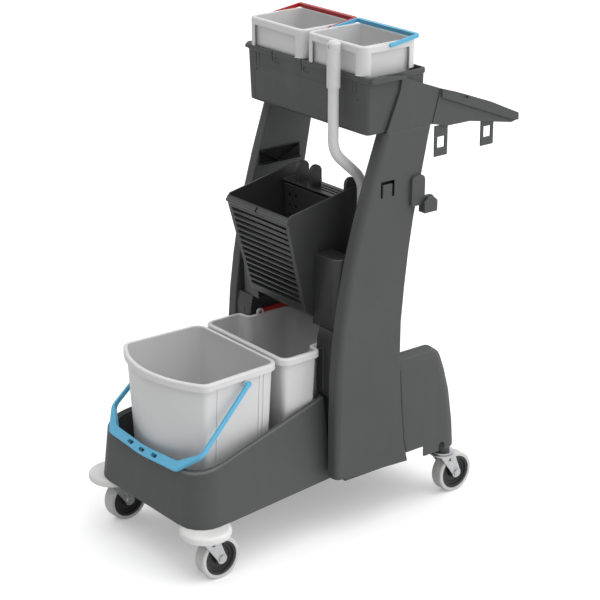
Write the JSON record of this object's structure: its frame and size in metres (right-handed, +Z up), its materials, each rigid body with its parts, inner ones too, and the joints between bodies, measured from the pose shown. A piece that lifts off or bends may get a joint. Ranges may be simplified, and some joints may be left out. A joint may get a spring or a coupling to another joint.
{
  "type": "double mop bucket trolley",
  "caption": "Wheeled mopping trolley: front tub holding two buckets, lever mop press between leaning columns, top tray with two small buckets and rear bag arms.",
  "frame": {"origin": "on the floor, under the centre of the trolley's bounding box", "axes": "+Z up, +Y towards the push handle at the rear, +X towards the lever's side"},
  "size_m": [0.4812, 0.926, 1.1515],
  "materials": {
    "grey_plastic": "satin moulded",
    "black_plastic": "semi-gloss moulded",
    "pale_plastic": "satin moulded",
    "pale_bumper": "satin",
    "pale_tyre": "non-marking tread",
    "hub_plastic": "satin moulded",
    "zinc_steel": "bright zinc",
    "lever_tube": "powder coat",
    "pale_grip": "satin",
    "blue_plastic": "satin moulded",
    "red_plastic": "satin moulded"
  },
  "bodies": {
    "trolley": {"base_tub": "grey_plastic", "rear_chassis": "grey_plastic", "right_housing": "grey_plastic", "left_housing": "grey_plastic", "right_bumper": "pale_bumper", "left_bumper": "pale_bumper", "right_column": "grey_plastic", "left_column": "grey_plastic", "back_panel": "grey_plastic", "top_tray": "grey_plastic", "right_arm": "grey_plastic", "left_arm": "grey_plastic", "push_handle": "grey_plastic", "tool_hook": "grey_plastic", "press_bracket": "black_plastic", "rear_bucket": "pale_plastic", "press_basket": "black_plastic", "right_post": "black_plastic", "left_post": "black_plastic", "front_right_head": "zinc_steel", "front_left_head": "zinc_steel", "rear_right_head": "zinc_steel", "rear_left_head": "zinc_steel"},
    "front_bucket": {"front_bucket": "pale_plastic"},
    "front_bail": {"front_bail": "blue_plastic"},
    "rear_bail": {"rear_bail": "red_plastic"},
    "top_left_bucket": {"top_left_bucket": "pale_plastic"},
    "top_left_bail": {"top_left_bail": "red_plastic"},
    "top_right_bucket": {"top_right_bucket": "pale_plastic"},
    "top_right_bail": {"top_right_bail": "blue_plastic"},
    "press_lever": {"press_lever": "lever_tube", "lever_grip": "pale_grip", "lever_shaft": "zinc_steel", "press_jaw": "black_plastic"},
    "front_right_swivel": {"front_right_fork": "zinc_steel", "front_right_axle": "zinc_steel"},
    "front_right_wheel": {"front_right_hub": "hub_plastic", "front_right_tyre": "pale_tyre"},
    "front_left_swivel": {"front_left_fork": "zinc_steel", "front_left_axle": "zinc_steel"},
    "front_left_wheel": {"front_left_hub": "hub_plastic", "front_left_tyre": "pale_tyre"},
    "rear_right_swivel": {"rear_right_fork": "zinc_steel", "rear_right_axle": "zinc_steel"},
    "rear_right_wheel": {"rear_right_hub": "hub_plastic", "rear_right_tyre": "pale_tyre"},
    "rear_left_swivel": {"rear_left_fork": "zinc_steel", "rear_left_axle": "zinc_steel"},
    "rear_left_wheel": {"rear_left_hub": "hub_plastic", "rear_left_tyre": "pale_tyre"}
  },
  "joints": [
    {"name": "front_right_swivel", "type": "hinge", "parent": "trolley", "child": "front_right_swivel", "pos_m": [0.1826, -0.405, 0.105], "axis": [0, 0, 1], "continuous": true},
    {"name": "front_right_roll", "type": "hinge", "parent": "front_right_swivel", "child": "front_right_wheel", "pos_m": [0.1826, -0.375, 0.05], "axis": [1, 0, 0], "continuous": true},
    {"name": "front_left_swivel", "type": "hinge", "parent": "trolley", "child": "front_left_swivel", "pos_m": [-0.1826, -0.405, 0.105], "axis": [0, 0, 1], "continuous": true},
    {"name": "front_left_roll", "type": "hinge", "parent": "front_left_swivel", "child": "front_left_wheel", "pos_m": [-0.1826, -0.375, 0.05], "axis": [1, 0, 0], "continuous": true},
    {"name": "rear_right_swivel", "type": "hinge", "parent": "trolley", "child": "rear_right_swivel", "pos_m": [0.1826, 0.296, 0.105], "axis": [0, 0, 1], "continuous": true},
    {"name": "rear_right_roll", "type": "hinge", "parent": "rear_right_swivel", "child": "rear_right_wheel", "pos_m": [0.1826, 0.326, 0.05], "axis": [1, 0, 0], "continuous": true},
    {"name": "rear_left_swivel", "type": "hinge", "parent": "trolley", "child": "rear_left_swivel", "pos_m": [-0.1826, 0.296, 0.105], "axis": [0, 0, 1], "continuous": true},
    {"name": "rear_left_roll", "type": "hinge", "parent": "rear_left_swivel", "child": "rear_left_wheel", "pos_m": [-0.1826, 0.326, 0.05], "axis": [1, 0, 0], "continuous": true},
    {"name": "front_bucket_lift", "type": "slide", "parent": "trolley", "child": "front_bucket", "axis": [0, 0, 1], "range_m": [0, 0.125]},
    {"name": "front_bail_swing", "type": "hinge", "parent": "front_bucket", "child": "front_bail", "pos_m": [0, -0.267, 0.425], "axis": [-1, 0, 0], "range_deg": [0, 134]},
    {"name": "rear_bail_swing", "type": "hinge", "parent": "trolley", "child": "rear_bail", "pos_m": [0, -0.027, 0.4553], "axis": [1, 0, 0], "range_deg": [0, 14]},
    {"name": "top_left_bucket_lift", "type": "slide", "parent": "trolley", "child": "top_left_bucket", "axis": [0, 0, 1], "range_m": [0, 0.13]},
    {"name": "top_left_bail_swing", "type": "hinge", "parent": "top_left_bucket", "child": "top_left_bail", "pos_m": [-0.1045, 0.0915, 1.136], "axis": [1, 0, 0], "range_deg": [0, 95]},
    {"name": "top_right_bucket_lift", "type": "slide", "parent": "trolley", "child": "top_right_bucket", "axis": [0, 0, 1], "range_m": [0, 0.13]},
    {"name": "top_right_bail_swing", "type": "hinge", "parent": "top_right_bucket", "child": "top_right_bail", "pos_m": [0.1045, 0.0915, 1.136], "axis": [1, 0, 0], "range_deg": [0, 95]},
    {"name": "lever_pull", "type": "hinge", "parent": "trolley", "child": "press_lever", "pos_m": [0, 0.078, 0.6], "axis": [1, 0, 0], "range_deg": [0, 35], "stiffness_Nm_per_rad": 4, "springref_deg": -22.92}
  ]
}
